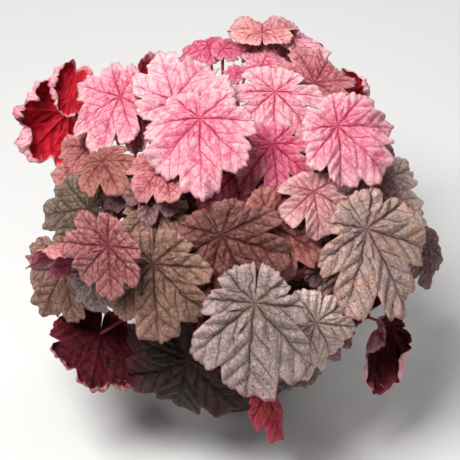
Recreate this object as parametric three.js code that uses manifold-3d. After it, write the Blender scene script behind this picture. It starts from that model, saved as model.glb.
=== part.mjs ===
// Heuchera (coral bells) in a nursery pot. Millimetres, +Z up, front towards -Y.
// The plant stands on the pot's flat base, whose centre is the origin.
import * as THREE from "three";
import { mergeVertices } from "three/addons/utils/BufferGeometryUtils.js";
import Module from "manifold-3d";

const wasm = await Module();
wasm.setup();

// ---- driving dimensions ----------------------------------------------------------------------
const POT = { height: 128, baseRadius: 60, rimRadius: 82, wall: 1.8, floor: 2.4, bevel: 1.5, sides: 28 };
const RIM = { band: 12, lip: 2.4 };
const DRAIN = { count: 6, radius: 5, ringRadius: 40, sides: 10 };
const SOIL = { level: 112, lump: 2.4, gap: 0.3 };
const CROWN = { radius: 33, rise: 24, stub: 18, gap: 0.3, knob: 1.1, sides: 14 };
const MOUND = { centre: new THREE.Vector3(0, 0, 190), across: 160, tall: 158 };
const PETIOLE = { topRadius: 1.3, footRadius: 1.7, depth: 5, stand: 1, gap: 0.35, grown: 0.1, own: 0.2, leave: 0.03 };
const STALK_MESH = { sides: 4, sections: 4 };
const BLADE = { thickness: 0.9, middleRing: 0.52, clear: 0.5, step: 2.5, deepest: -40, highest: 80 };
const CROWN_MIDDLE = new THREE.Vector3(0, 0, SOIL.level);
const EYE_DISTANCE = 1500; // the leaves' places are read from this far away, square to the mound

const COLOUR = {
  pink: 0xee829b,
  rose: 0xd78787,
  silver: 0xa59696,
  bronze: 0xa58773,
  burgundy: 0x8c2e50,
  crown: 0x6b3a33,
  soil: 0x2b211b,
  pot: 0x1b1b1c,
};

// ---- a leaf's shape, in its own plane ---------------------------------------------------------
// The stalk meets the blade at (0, 0), the tip lobe points along +y, +z is the upper side.
// An angle is measured from the tip lobe, and +-180 degrees is the notch at the leaf's base.
const RAD = Math.PI / 180;
const LOBES = { 7: { pitch: 44, basal: [173] }, 5: { pitch: 56, basal: [157, 173] } };
const OUTLINE = { lobe: 0.06, notchSharp: 10, tooth: 0.045, toothRound: 0.6, uneven: 0.05 };
const SINUS = { width: 7, depth: 0.12, round: 0.6 };
const HUB = { radius: 1.9, notch: 2.8 }; // flat round the stalk, and how near to it the notch comes
const RELIEF = { dome: 0.1, pleat: 0.06, rippleAt: 2.5 };

// Half a turn to each lobe; the two by the notch at the leaf's base run on to it unbroken.
function lobeTurn(leaf, degrees) {
  const { pitch } = LOBES[leaf.lobes];
  const last = (pitch * (leaf.lobes - 1)) / 2;
  return (THREE.MathUtils.clamp(degrees, -last, last) / pitch) * Math.PI;
}

function outlineRadius(leaf, degrees) {
  const { lobe, notchSharp, tooth, toothRound, uneven } = OUTLINE;
  const a = degrees * RAD;
  const inLobe = lobeTurn(leaf, degrees);
  const inTooth = (3 * degrees * Math.PI) / LOBES[leaf.lobes].pitch;
  const lopsided = 1 + uneven * Math.sin(2 * a + leaf.phase);
  const envelope = THREE.MathUtils.lerp(leaf.base, 1, Math.cos(a / 2) ** leaf.narrow) * lopsided;
  const lobed = 1 - lobe * Math.sin(inLobe) ** 2 - leaf.notch * Math.sin(inLobe) ** notchSharp;
  const toothed = 1 - tooth * (1 - Math.abs(Math.cos(inTooth)) ** toothRound);
  const toBase = Math.min(1, (180 - Math.abs(degrees)) / SINUS.width);
  const open = THREE.MathUtils.lerp(SINUS.depth, 1, Math.sin((toBase * Math.PI) / 2) ** SINUS.round);
  return Math.max(HUB.notch, leaf.size * envelope * lobed * toothed * open);
}

// A point of the blade: flat place, then relief, then the bends across and along the leaf.
function bladePoint(leaf, degrees, reach, below) {
  const a = degrees * RAD;
  const r = THREE.MathUtils.lerp(HUB.radius, outlineRadius(leaf, degrees), reach);
  const part = r / leaf.size;
  const inLobe = lobeTurn(leaf, degrees);
  const dome = -RELIEF.dome * part * part;
  const pleat = RELIEF.pleat * part * Math.sin(inLobe) ** 2;
  const ripple = leaf.wave * part ** RELIEF.rippleAt * Math.sin(leaf.ripples * a + leaf.phase);
  const height = (dome + pleat + ripple) * leaf.size - below;
  const across = bend(r * Math.sin(a), height, (leaf.roll * RAD) / leaf.size);
  const along = bend(r * Math.cos(a), across.height, (leaf.curl * RAD) / leaf.size);
  return new THREE.Vector3(across.out, along.out, along.height);
}

// Bends a strip lying along an axis down by `rate` radians a millimetre.
function bend(out, height, rate) {
  if (Math.abs(rate) < 1e-6) return { out, height };
  const turn = out * rate;
  return {
    out: Math.sin(turn) / rate + height * Math.sin(turn),
    height: (Math.cos(turn) - 1) / rate + height * Math.cos(turn),
  };
}

// ---- meshing ----------------------------------------------------------------------------------
// The rings around the stalk, each a list of angles from -180 up, from the stalk to the margin.
function ringAngles(leaf) {
  const { pitch, basal } = LOBES[leaf.lobes];
  const half = (leaf.lobes * leaf.points) / 2;
  const lobed = Array.from({ length: 2 * half + 1 }, (_, k) => ((k - half) * pitch) / leaf.points);
  const margin = [-180, ...[...basal].reverse().map((d) => -d), ...lobed, ...basal];
  // The middle ring has a corner in line with every lobe and every notch, so that nothing folds.
  const middle = [-180, ...lobed.filter((_, k) => k % (leaf.points / 2) === 0)];
  const stalk = Array.from({ length: STALK_MESH.sides }, (_, k) => -180 + (360 * k) / STALK_MESH.sides);
  return { margin, middle, stalk };
}

// Triangles between two rings of different counts, anticlockwise seen from above.
function zip(inner, outer, innerStart, outerStart) {
  const faces = [];
  const next = (ring, k) => (k + 1 < ring.length ? ring[k + 1] : k + 1 === ring.length ? 180 : Infinity);
  let i = 0;
  let o = 0;
  while (i < inner.length || o < outer.length) {
    const a = innerStart + (i % inner.length);
    const b = outerStart + (o % outer.length);
    if (next(outer, o) <= next(inner, i)) {
      faces.push([a, b, outerStart + ((o + 1) % outer.length)]);
      o++;
    } else {
      faces.push([a, b, innerStart + ((i + 1) % inner.length)]);
      i++;
    }
  }
  return faces;
}

// Both faces and the margin of the blade, in the leaf's own plane. The face that the stalk grows
// from is left open inside the stalk ring.
function bladeMesh(leaf) {
  const { margin, middle, stalk } = ringAngles(leaf);
  const points = [];
  const face = (below) => {
    const start = points.length;
    for (const d of stalk) {
      const at = new THREE.Vector3(Math.sin(d * RAD), Math.cos(d * RAD), 0).multiplyScalar(PETIOLE.topRadius);
      points.push(at.setZ(-below));
    }
    for (const d of middle) points.push(bladePoint(leaf, d, BLADE.middleRing, below));
    for (const d of margin) points.push(bladePoint(leaf, d, 1, below));
    return start;
  };
  const top = face(0);
  const under = face(BLADE.thickness);
  const toMiddle = stalk.length;
  const toMargin = toMiddle + middle.length;
  // Angles run clockwise seen from above, because +90 degrees is +x and 0 is +y.
  const skin = [
    ...zip(stalk, middle, 0, toMiddle),
    ...zip(middle, margin, toMiddle, toMargin),
  ].map(([a, b, c]) => [a, c, b]);
  const faces = [];
  for (const [a, b, c] of skin) {
    faces.push([top + a, top + b, top + c]);
    faces.push([under + a, under + c, under + b]);
  }
  const { turned } = leaf.pose;
  for (let k = 1; k + 1 < stalk.length; k++) {
    faces.push(turned ? [under, under + k, under + k + 1] : [top, top + k + 1, top + k]);
  }
  for (let k = 0; k < margin.length; k++) {
    const a = toMargin + k;
    const b = toMargin + ((k + 1) % margin.length);
    faces.push([top + a, top + b, under + b], [top + a, under + b, under + a]);
  }
  return { points, faces, stalkRing: turned ? top : under };
}

// The stalk's sections along its curve, each turned as little as possible from the one before.
// The last, with `planted`, is the end of the straight foot in its hole in the crown.
function stalkSections(leaf, curve, planted, extra = 0) {
  const places = [];
  for (let s = 1; s <= STALK_MESH.sections; s++) {
    const t = s / STALK_MESH.sections;
    places.push({ centre: curve.getPoint(t), tangent: curve.getTangent(t), t });
  }
  if (planted) {
    const { centre, tangent } = places.at(-1);
    const deep = PETIOLE.depth + PETIOLE.stand + extra;
    places.push({ centre: centre.clone().addScaledVector(tangent, deep), tangent, t: 1 });
  }
  let reference = leaf.pose.tip.clone();
  return places.map(({ centre, tangent, t }) => {
    reference = reference.sub(tangent.clone().multiplyScalar(reference.dot(tangent))).normalize();
    const side = new THREE.Vector3().crossVectors(reference, tangent).multiplyScalar(leaf.pose.turned ? 1 : -1);
    const radius = THREE.MathUtils.lerp(PETIOLE.topRadius, PETIOLE.footRadius, t) + extra;
    return Array.from({ length: STALK_MESH.sides }, (_, k) => {
      const a = -Math.PI + (2 * Math.PI * k) / STALK_MESH.sides;
      return centre
        .clone()
        .addScaledVector(side, radius * Math.sin(a))
        .addScaledVector(reference, radius * Math.cos(a));
    });
  });
}

function solidFrom(points, faces) {
  const mesh = new wasm.Mesh({
    numProp: 3,
    vertProperties: new Float32Array(points.flatMap((p) => [p.x, p.y, p.z])),
    triVerts: new Uint32Array(faces.flat()),
  });
  return new wasm.Manifold(mesh);
}

// Carries a mesh on from its ring `above` through more rings, and closes the last one. The rings of
// a turned leaf's stalk run the other way round.
function addTube(points, faces, above, rings, turned) {
  const n = STALK_MESH.sides;
  const skin = [];
  for (const ring of rings) {
    const here = points.length;
    points.push(...ring);
    for (let k = 0; k < n; k++) {
      const m = (k + 1) % n;
      skin.push([above + k, above + m, here + m], [above + k, here + m, here + k]);
    }
    above = here;
  }
  for (let k = 1; k + 1 < n; k++) skin.push([above, above + k, above + k + 1]);
  faces.push(...(turned ? skin.map(([a, b, c]) => [a, c, b]) : skin));
}

function placedBlade(leaf) {
  const { points, faces, stalkRing } = bladeMesh(leaf);
  const { across, tip, normal, junction } = leaf.pose;
  const placed = points.map((p) =>
    junction.clone().addScaledVector(across, p.x).addScaledVector(tip, p.y).addScaledVector(normal, p.z),
  );
  return { points: placed, faces, stalkRing };
}

// The blade with its stalk along the curve, down to the crown or into it, or the blade alone.
function leafSolid(leaf, curve, planted) {
  const { points, faces, stalkRing } = placedBlade(leaf);
  addTube(points, faces, stalkRing, curve ? stalkSections(leaf, curve, planted) : [], leaf.pose.turned);
  return solidFrom(points, faces);
}

function closedTube(mouth, rings, turned) {
  const faces = [];
  for (let k = 1; k + 1 < mouth.length; k++) faces.push(turned ? [0, k, k + 1] : [0, k + 1, k]);
  const points = [...mouth];
  addTube(points, faces, 0, rings, turned);
  return solidFrom(points, faces);
}

// The hole that a leaf's foot stands in, run on outwards past the crown's surface.
function footHole(leaf) {
  const [top, end] = stalkSections(leaf, leaf.curve, true, PETIOLE.gap).slice(-2);
  const mouth = top.map((p, k) => p.clone().multiplyScalar(2).sub(end[k]));
  return closedTube(mouth, [end], leaf.pose.turned);
}

// The stalk without its topmost stretch, which has to stay clear of its own blade.
function lowerStalk(leaf, curve) {
  const { points, stalkRing } = placedBlade(leaf);
  const rings = stalkSections(leaf, curve, false);
  const mouth = rings[0].map((p, k) => points[stalkRing + k].clone().lerp(p, PETIOLE.grown));
  return closedTube(mouth, rings, leaf.pose.turned);
}

// ---- where a leaf sits ------------------------------------------------------------------------
// A view looks at the middle of the mound, level with `elevation` degrees above the floor.
function view(azimuth, elevation) {
  const a = azimuth * RAD;
  const e = elevation * RAD;
  const right = new THREE.Vector3(Math.cos(a), Math.sin(a), 0);
  const toEye = new THREE.Vector3(Math.sin(a) * Math.cos(e), -Math.cos(a) * Math.cos(e), Math.sin(e));
  const up = new THREE.Vector3().crossVectors(toEye, right);
  return { right, up, toEye, eye: MOUND.centre.clone().addScaledVector(toEye, EYE_DISTANCE) };
}

const FRONT = view(0, 43);
const BACK = view(180, 32);
const LEFT = view(-90, 18);
const RIGHT = view(90, 18);

// The leaf's stalk meets its blade where the line of sight through `at` enters the mound, or
// passes nearest to its middle. `lift` brings it nearer to the eye along the same line. A leaf whose
// upper side faces the crown is turned over, and its stalk leaves it on that side.
function poseLeaf(leaf, lift) {
  const { right, up, toEye, eye } = leaf.seen;
  const target = MOUND.centre.clone().addScaledVector(right, leaf.at[0]).addScaledVector(up, leaf.at[1]);
  const ray = target.clone().sub(eye).normalize();
  const flat = (v) => new THREE.Vector3(v.x / MOUND.across, v.y / MOUND.across, v.z / MOUND.tall);
  const from = flat(eye.clone().sub(MOUND.centre));
  const way = flat(ray);
  const half = from.dot(way) / way.lengthSq();
  const inside = half * half - (from.lengthSq() - 1) / way.lengthSq();
  const distance = -half - Math.sqrt(Math.max(0, inside)) - leaf.rise - lift;
  const junction = eye.clone().addScaledVector(ray, distance);
  const onMound = junction.clone().addScaledVector(ray, leaf.rise + lift);
  const normal = new THREE.Vector3();
  if (leaf.faces) {
    const [r, u, e] = leaf.faces;
    normal.addScaledVector(right, r).addScaledVector(up, u).addScaledVector(toEye, e);
  } else {
    normal.copy(onMound).sub(MOUND.centre).normalize().addScaledVector(toEye, leaf.square);
  }
  normal.normalize();
  const a = leaf.tip * RAD;
  const tip = right.clone().multiplyScalar(Math.cos(a)).addScaledVector(up, Math.sin(a));
  tip.addScaledVector(ray, -tip.dot(normal) / ray.dot(normal)).normalize();
  const across = new THREE.Vector3().crossVectors(tip, normal);
  const turned = CROWN_MIDDLE.clone().sub(junction).dot(normal) > 0;
  return { junction, normal, tip, across, turned };
}

// Stalk feet are spread evenly over the crown's dome by the golden angle, outermost first.
const crownTop = SOIL.level + CROWN.rise;
const FEET = { golden: 137.508, lowest: 0.16, highest: 0.97, rearUp: 0.35, choices: 4 };

function crownFeet(count) {
  return Array.from({ length: count }, (_, k) => {
    const height = THREE.MathUtils.lerp(FEET.lowest, FEET.highest, (k + 0.5) / count);
    const a = k * FEET.golden * RAD;
    const flat = Math.sqrt(1 - height * height);
    const out = new THREE.Vector3(flat * Math.cos(a), flat * Math.sin(a), height);
    const place = new THREE.Vector3(
      out.x * CROWN.radius,
      out.y * CROWN.radius,
      SOIL.level + out.z * CROWN.rise,
    );
    const away = new THREE.Vector3(out.x / CROWN.radius, out.y / CROWN.radius, out.z / CROWN.rise);
    away.normalize().add(new THREE.Vector3(0, 0, FEET.rearUp)).normalize();
    return { place, away, taken: false };
  });
}

// A stalk bulges this far towards one of eight sides, least first, and leaves its blade more or
// less squarely.
const BULGES = [0, 8, 16, 25, 36, 48, 62, 78];
const BULGE_SIDES = [0, 180, 90, 270, 45, 135, 225, 315];
const SQUARENESS = [0.8, 0.3, 1.7, 0, 3];
const HANDLES = { near: 0.33, far: 0.36 };
const SWAYS = BULGES.flatMap((bulge) =>
  (bulge ? BULGE_SIDES : [0]).flatMap((side) => SQUARENESS.map((square) => ({ bulge, side, square }))),
);

function stalkCurve(leaf, foot, sway) {
  const { junction, normal, turned } = leaf.pose;
  const start = junction.clone().addScaledVector(normal, turned ? 0 : -BLADE.thickness);
  const end = foot.place.clone().addScaledVector(foot.away, PETIOLE.stand);
  const chord = end.clone().sub(start);
  const length = chord.length();
  const sideways = new THREE.Vector3(-chord.y, chord.x, 0).normalize();
  const downwards = new THREE.Vector3().crossVectors(chord, sideways).normalize();
  const squarely = (turned ? 1 : -1) * sway.square * leaf.stalk;
  const leave = chord.clone().normalize().addScaledVector(normal, squarely).normalize();
  const near = start.clone().addScaledVector(leave, length * HANDLES.near);
  const far = end.clone().addScaledVector(foot.away, length * HANDLES.far);
  for (const handle of [near, far]) {
    handle.addScaledVector(sideways, sway.bulge * Math.cos(sway.side * RAD));
    handle.addScaledVector(downwards, sway.bulge * Math.sin(sway.side * RAD));
  }
  return new THREE.CubicBezierCurve3(start, near, far, end);
}

// ---- pot, soil and crown ----------------------------------------------------------------------
function potRadius(z) {
  return THREE.MathUtils.lerp(POT.baseRadius, POT.rimRadius, z / POT.height);
}

// A closed solid of revolution from [radius, height] pairs.
function turned(profile, sides) {
  const lathe = new THREE.LatheGeometry(
    profile.map(([r, z]) => new THREE.Vector2(r, z)),
    sides,
  );
  return merged(lathe.rotateX(Math.PI / 2));
}

// The geometry with its shared corners merged, so that it closes.
function merged(geometry) {
  geometry.deleteAttribute("uv").deleteAttribute("normal");
  return mergeVertices(geometry, 1e-4);
}

function solidOf(geometry) {
  const place = geometry.getAttribute("position");
  const points = Array.from({ length: place.count }, (_, k) => new THREE.Vector3().fromBufferAttribute(place, k));
  const index = Array.from(geometry.index.array);
  const faces = [];
  for (let k = 0; k < index.length; k += 3) {
    const face = index.slice(k, k + 3);
    if (new Set(face).size === 3) faces.push(face);
  }
  return solidFrom(points, faces);
}

function makePot() {
  const { height, wall, floor, bevel } = POT;
  const bandFoot = height - RIM.band;
  const inner = (z) => potRadius(z) - wall;
  const shell = turned(
    [
      [0, 0],
      [POT.baseRadius - bevel, 0],
      [potRadius(bevel), bevel],
      [potRadius(bandFoot), bandFoot],
      [potRadius(bandFoot) + RIM.lip, bandFoot + RIM.lip / 2],
      [POT.rimRadius + RIM.lip, height - RIM.lip / 2],
      [POT.rimRadius + RIM.lip / 2, height],
      [inner(height) + wall / 3, height],
      [inner(height - wall), height - wall],
      [inner(floor) - bevel, floor],
      [0, floor],
    ],
    POT.sides,
  );
  let pot = solidOf(shell);
  for (let k = 0; k < DRAIN.count; k++) {
    const a = (2 * Math.PI * k) / DRAIN.count;
    const drill = new THREE.CylinderGeometry(DRAIN.radius, DRAIN.radius, 3 * floor, DRAIN.sides);
    drill.rotateX(Math.PI / 2).translate(DRAIN.ringRadius * Math.cos(a), DRAIN.ringRadius * Math.sin(a), 0);
    pot = pot.subtract(solidOf(merged(drill)));
  }
  return pot;
}

// Lumps fade out at the pot's wall and at the crown.
function soilLump(x, y) {
  const edge = potRadius(SOIL.level) - POT.wall - SOIL.gap;
  const r = Math.hypot(x, y);
  const fade = Math.sin(Math.PI * THREE.MathUtils.clamp((r - CROWN.radius) / (edge - CROWN.radius), 0, 1));
  return SOIL.lump * fade * (Math.sin(x * 0.21 + 1) * Math.cos(y * 0.17) + 0.4 * Math.sin(x * 0.5 - y * 0.43));
}

function makeSoil() {
  const { level, gap } = SOIL;
  const foot = POT.floor + gap;
  const edge = (z) => potRadius(z) - POT.wall - gap;
  const hole = CROWN.radius + CROWN.gap;
  const pit = level - CROWN.stub - CROWN.gap;
  const top = [0.25, 0.5, 0.75].map((t) => [THREE.MathUtils.lerp(edge(level), hole, t), level]);
  const profile = [[0, foot], [edge(foot) - POT.bevel, foot], [edge(level), level], ...top, [hole, level]];
  const soil = turned([...profile, [hole, pit], [0, pit]], POT.sides);
  const place = soil.getAttribute("position");
  for (let k = 0; k < place.count; k++) {
    if (place.getZ(k) > level - gap) place.setZ(k, level + soilLump(place.getX(k), place.getY(k)));
  }
  return solidOf(soil);
}

function makeCrownBody() {
  const { radius, rise, stub, knob, sides } = CROWN;
  const dome = [0, 18, 36, 54, 72, 90].map((d) => [
    radius * Math.cos(d * RAD),
    SOIL.level + rise * Math.sin(d * RAD),
  ]);
  const crown = turned([[0, SOIL.level - stub], [radius, SOIL.level - stub], ...dome], sides);
  const place = crown.getAttribute("position");
  for (let k = 0; k < place.count; k++) {
    const [x, y, z] = [place.getX(k), place.getY(k), place.getZ(k)];
    const sunk = 1 - (knob / radius) * (1 + Math.sin(x * 0.9 + z) * Math.cos(y * 0.8 - z));
    if (z > SOIL.level) place.setXY(k, x * sunk, y * sunk);
  }
  return solidOf(crown);
}

// ---- the leaves -------------------------------------------------------------------------------
// at: across and up, in mm on the plane through the mound's middle, square to the view.
// tip: which way the tip lobe points in that view, in degrees (0 right, 90 up).
// faces: the upper side's direction as right, up, towards the eye; left out, it follows the mound.
// curl, roll: how far the blade bends down along and across its length, in degrees.
// Listed from the undermost to the topmost; each lies clear of those before it.
const leaves = [];
const kinds = {};

function leaf(kind, at, tip, size, extra = {}) {
  kinds[kind] = (kinds[kind] ?? 0) + 1;
  const number = String(kinds[kind]).padStart(2, "0");
  const k = leaves.length;
  const mate = leaves[k - extra.shares];
  leaves.push({
    name: `leaf_${kind}_${number}`,
    node: mate ? mate.node : `leaf_${kind}_${number}`,
    mate,
    kind,
    at,
    tip,
    size,
    seen: FRONT,
    lobes: size < 50 ? 5 : 7,
    points: size < 56 ? 4 : 6,
    notch: 0.14,
    narrow: 1.9,
    base: 0.42,
    rise: 0,
    curl: 22,
    roll: 12,
    wave: 0.09,
    square: 0.45,
    stalk: 1,
    ripples: 4 + (k % 3),
    phase: (k * FEET.golden * RAD) % (2 * Math.PI),
    ...extra,
  });
}

// lower front, hanging over the pot
leaf("burgundy", [-121, -97], -100, 62, { faces: [-0.35, -0.45, -0.8], curl: -20, roll: -10 });
leaf("silver", [2, -130], -78, 48, { rise: -20 });
leaf("silver", [66, -134], -100, 30, { rise: -6, shares: 1 });
leaf("rose", [32, -148], -64, 54, { faces: [0.6, 0.1, 0.75], narrow: 6, base: 0.2, roll: 160 });
leaf("bronze", [90, -90], -88, 46, { rise: -20 });
leaf("burgundy", [150, -88], -120, 94, { faces: [-0.5, -0.15, -0.85], narrow: 7, base: 0.15, roll: 290, curl: 30 });
leaf("burgundy", [108, -70], 8, 34, { faces: [0.3, -0.5, -0.8], shares: 1 });
leaf("bronze", [-38, -120], -104, 88, { roll: 40 });
// lower sides
leaf("bronze", [-154, -36], 238, 60, { faces: [-0.55, -0.1, 0.83], notch: 0.06 });
leaf("rose", [-130, -15], 184, 56, { faces: [-0.1, 0.88, -0.35], roll: 60, rise: -6 });
leaf("silver", [-128, -44], -88, 40, { rise: -4 });
leaf("silver", [184, -14], -80, 42, { faces: [0.75, 0.1, 0.6] });
leaf("rose", [150, -12], -10, 36, { faces: [0.25, 0.8, -0.45], rise: -10 });
leaf("silver", [126, 42], -20, 80, { faces: [0.3, 0.5, 0.8], narrow: 2.2, notch: 0.2 });
leaf("rose", [106, -19], -96, 50, { roll: 40 });
// middle
leaf("bronze", [-39, 32], -80, 32, { rise: -18 });
leaf("rose", [36, 7], -30, 58);
leaf("bronze", [-8, -5], -62, 68, { notch: 0.22 });
leaf("pink", [7, 54], -86, 52, { faces: [0, 0.5, 0.85], rise: -20, notch: 0.3 });
leaf("pink", [39, 80], -80, 54, { faces: [0.1, 0.45, 0.88], rise: -16, shares: 1, notch: 0.32 });
leaf("rose", [78, 36], -78, 45, { faces: [0.25, 0.3, 0.9], notch: 0.28 });
leaf("silver", [127, 1], -58, 86, { faces: [0.35, 0.1, 0.93], narrow: 3.2, base: 0.38, notch: 0.2, roll: 30 });
leaf("bronze", [80, -86], -108, 64, { roll: 35 });
leaf("rose", [-65, -24], 175, 34, { faces: [0.1, 0.93, -0.3] });
leaf("bronze", [-71, -32], -90, 70, { notch: 0.1 });
leaf("silver", [23, -68], -95, 96, { faces: [0, -0.12, 0.99], narrow: 6, base: 0.36, notch: 0.12, roll: 24 });
leaf("silver", [-69, 18], -85, 43, { faces: [0, 0.55, 0.8] });
leaf("silver", [-130, 20], 186, 54, { faces: [-0.35, 0.15, 0.92], notch: 0.06 });
leaf("rose", [-113, -15], 225, 52, { faces: [-0.3, -0.15, 0.94] });
leaf("silver", [-86, 46], 215, 40);
leaf("rose", [-70, 40], -110, 34, { faces: [-0.1, 0.4, 0.9], notch: 0.24 });
leaf("rose", [-59, 60], 218, 42, { faces: [-0.2, 0.5, 0.8] });
// upper left
leaf("rose", [-119, 65], -60, 40, { faces: [-0.2, 0.65, 0.75], notch: 0.24 });
leaf("pink", [-84, 104], -105, 36, { rise: -20 });
leaf("burgundy", [-73, 131], 150, 46, { faces: [0, 0.75, -0.65], roll: -50, rise: -20 });
leaf("burgundy", [-150, 110], 222, 74, { faces: [-0.4, 0.1, -0.9], curl: 30, roll: 60, rise: -20, stalk: 0.2, wave: 0.13 });
leaf("burgundy", [-148, 122], 108, 44, { faces: [-0.35, -0.1, -0.93], narrow: 4, roll: 80, rise: -20, stalk: 0.2 });
leaf("rose", [-132, 76], 222, 46, { faces: [-0.45, 0.4, 0.8], notch: 0.24, wave: 0.12 });
leaf("pink", [-102, 124], 205, 60, { faces: [-0.35, 0.4, 0.85], notch: 0.16, wave: 0.13 });
// top
leaf("pink", [58, 178], 10, 42, { faces: [0.3, 0.75, 0.6], notch: 0.26, wave: 0.12 });
leaf("pink", [30, 153], 70, 32, { faces: [0, 0.6, 0.75] });
leaf("pink", [7, 145], 150, 18, { faces: [0, 0.6, 0.75], wave: 0.12, shares: 1 });
leaf("pink", [-20, 172], 180, 38, { faces: [-0.2, 0.7, 0.65], curl: 50, roll: 60 });
leaf("pink", [-7, 169], 0, 24, { faces: [0, 0.7, 0.7], wave: 0.1, shares: 1 });
leaf("pink", [30, 184], 90, 44, { faces: [0, 0.75, 0.65], wave: 0.14 });
leaf("burgundy", [112, 130], 20, 34, { faces: [0.6, 0.5, -0.6] });
leaf("pink", [79, 137], 60, 50, { faces: [0.25, 0.5, 0.8], wave: 0.12 });
// upper right and crown of the mound
leaf("rose", [132, 60], -25, 46, { wave: 0.12 });
leaf("pink", [100, 97], -40, 61, { faces: [0.25, 0.25, 0.93], notch: 0.06 });
leaf("pink", [-52, 119], 58, 64, { faces: [-0.1, 0.4, 0.9], wave: 0.11 });
leaf("pink", [-28, 104], -90, 65, { faces: [-0.1, 0.3, 0.94], notch: 0.08 });
leaf("pink", [42, 129], -92, 62, { faces: [0, 0.35, 0.93], notch: 0.32 });
// the far side
const far = (kind, at, tip, size, extra) => leaf(kind, at, tip, size, { seen: BACK, points: 4, ...extra });
far("pink", [54, 24], -45, 44, { rise: -30 });
far("rose", [-126, -4], -150, 58, { rise: -20 });
far("rose", [-52, -2], -105, 58);
far("rose", [108, -34], -50, 48);
far("silver", [46, -16], -72, 58);
far("silver", [-98, -62], -120, 64, { shares: 1 });
far("bronze", [0, -62], -92, 68);
far("bronze", [98, -66], -58, 64, { shares: 1 });
far("bronze", [-46, -114], -105, 58);
far("silver", [48, -112], -75, 60);
// low at the sides
const side = (seen, kind, at, tip, size, extra) => leaf(kind, at, tip, size, { seen, points: 4, rise: -20, ...extra });
side(LEFT, "bronze", [-22, -84], -98, 54);
side(RIGHT, "bronze", [66, -76], -75, 50);

// ---- laying the leaves on ---------------------------------------------------------------------
function boxesMeet(a, b) {
  const gap = BLADE.clear;
  return [0, 1, 2].every((i) => a.min[i] - gap <= b.max[i] && b.min[i] - gap <= a.max[i]);
}

function clearOf(solid, others) {
  const box = solid.boundingBox();
  return others.every(
    (other) => !boxesMeet(box, other.box) || solid.minGap(other.solid, 2 * BLADE.clear) >= BLADE.clear,
  );
}

// The free feet nearest to the line from the crown to the leaf: low for outer leaves.
function nearestFeet(leaf, feet) {
  const outward = poseLeaf(leaf, 0).junction.sub(MOUND.centre).setZ(0);
  const share = Math.min(1, outward.length() / MOUND.across);
  const wanted = outward.normalize().multiplyScalar(CROWN.radius * share);
  wanted.z = SOIL.level + CROWN.rise * Math.sqrt(1 - share ** 2);
  const away = (foot) => foot.place.distanceTo(wanted);
  return feet.filter((foot) => !foot.taken).sort((p, q) => away(p) - away(q)).slice(0, FEET.choices);
}

// Whether a stalk's first stretch leads away from the blade it grows from.
function leavesBlade(leaf, curve) {
  const stretch = curve.getPoint(1 / STALK_MESH.sections).sub(curve.getPoint(0)).normalize();
  return stretch.dot(leaf.pose.normal) * (leaf.pose.turned ? 1 : -1) > PETIOLE.leave;
}

// A leaf keeps to its line of sight and comes nearer until its blade, and then its stalk with
// one of a few bends, lies clear of everything before it. A leaf that shares another's foot
// may cross that one's stalk, but not its blade.
function layLeaf(leaf, feet, others) {
  const { mate } = leaf;
  const rest = others.filter((other) => !mate || other.leaf?.node !== leaf.node);
  const mates = others.filter((other) => mate && other.leaf?.node === leaf.node).map((other) => other.blade);
  const choices = mate ? [mate.foot] : nearestFeet(leaf, feet);
  for (let lift = BLADE.deepest; lift <= BLADE.highest; lift += BLADE.step) {
    leaf.pose = poseLeaf(leaf, lift);
    const blade = leafSolid(leaf);
    if (!clearOf(blade, others)) continue;
    for (const foot of choices) {
      for (const sway of SWAYS) {
        const curve = stalkCurve(leaf, foot, sway);
        if (!leavesBlade(leaf, curve)) continue;
        const solid = leafSolid(leaf, curve, false);
        if (!clearOf(solid, rest) || !clearOf(solid, mates)) continue;
        if (lowerStalk(leaf, curve).minGap(blade, 1) < PETIOLE.own) continue;
        foot.taken = true;
        Object.assign(leaf, { foot, curve, lift, sway });
        const alone = { solid: blade, box: blade.boundingBox() };
        others.push({ leaf, solid, box: solid.boundingBox(), blade: alone });
        return true;
      }
    }
  }
  return false;
}

const pot = makePot();
const soil = makeSoil();
const crownBody = makeCrownBody();
const feet = crownFeet(leaves.filter((leaf) => !leaf.mate).length);
const others = [pot, soil, crownBody].map((solid) => ({ solid, box: solid.boundingBox() }));
for (const leaf of leaves) {
  if (!layLeaf(leaf, feet, others)) throw new Error(`${leaf.name} finds no clear place`);
}
const crown = leaves.reduce((body, leaf) => body.subtract(footHole(leaf)), crownBody);

const solids = new Map([["pot", pot], ["soil", soil], ["crown", crown]]);
for (const leaf of leaves) {
  const solid = leafSolid(leaf, leaf.curve, true);
  const { node } = leaf;
  solids.set(node, solids.has(node) ? solids.get(node).add(solid) : solid);
}

// ---- the scene graph --------------------------------------------------------------------------
function geometryOf(solid) {
  const mesh = solid.getMesh();
  const geometry = new THREE.BufferGeometry();
  geometry.setAttribute("position", new THREE.BufferAttribute(mesh.vertProperties, 3));
  geometry.setIndex(new THREE.BufferAttribute(mesh.triVerts, 1));
  return geometry;
}

const plant = new THREE.Group();
for (const [name, solid] of solids) {
  const kind = leaves.find((leaf) => leaf.name === name)?.kind ?? name;
  const material = new THREE.MeshStandardMaterial({ color: COLOUR[kind], roughness: 0.6 });
  const mesh = new THREE.Mesh(geometryOf(solid), material);
  mesh.name = name;
  plant.add(mesh);
}

export default plant;
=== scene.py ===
# Looks of a heuchera (coral bells) in a nursery pot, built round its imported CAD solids.
# Every leaf repeats the solid's own formulas, finely enough for teeth, ruffles, quilting and veins.
import math
from functools import partialmethod
from types import SimpleNamespace as Named

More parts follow.
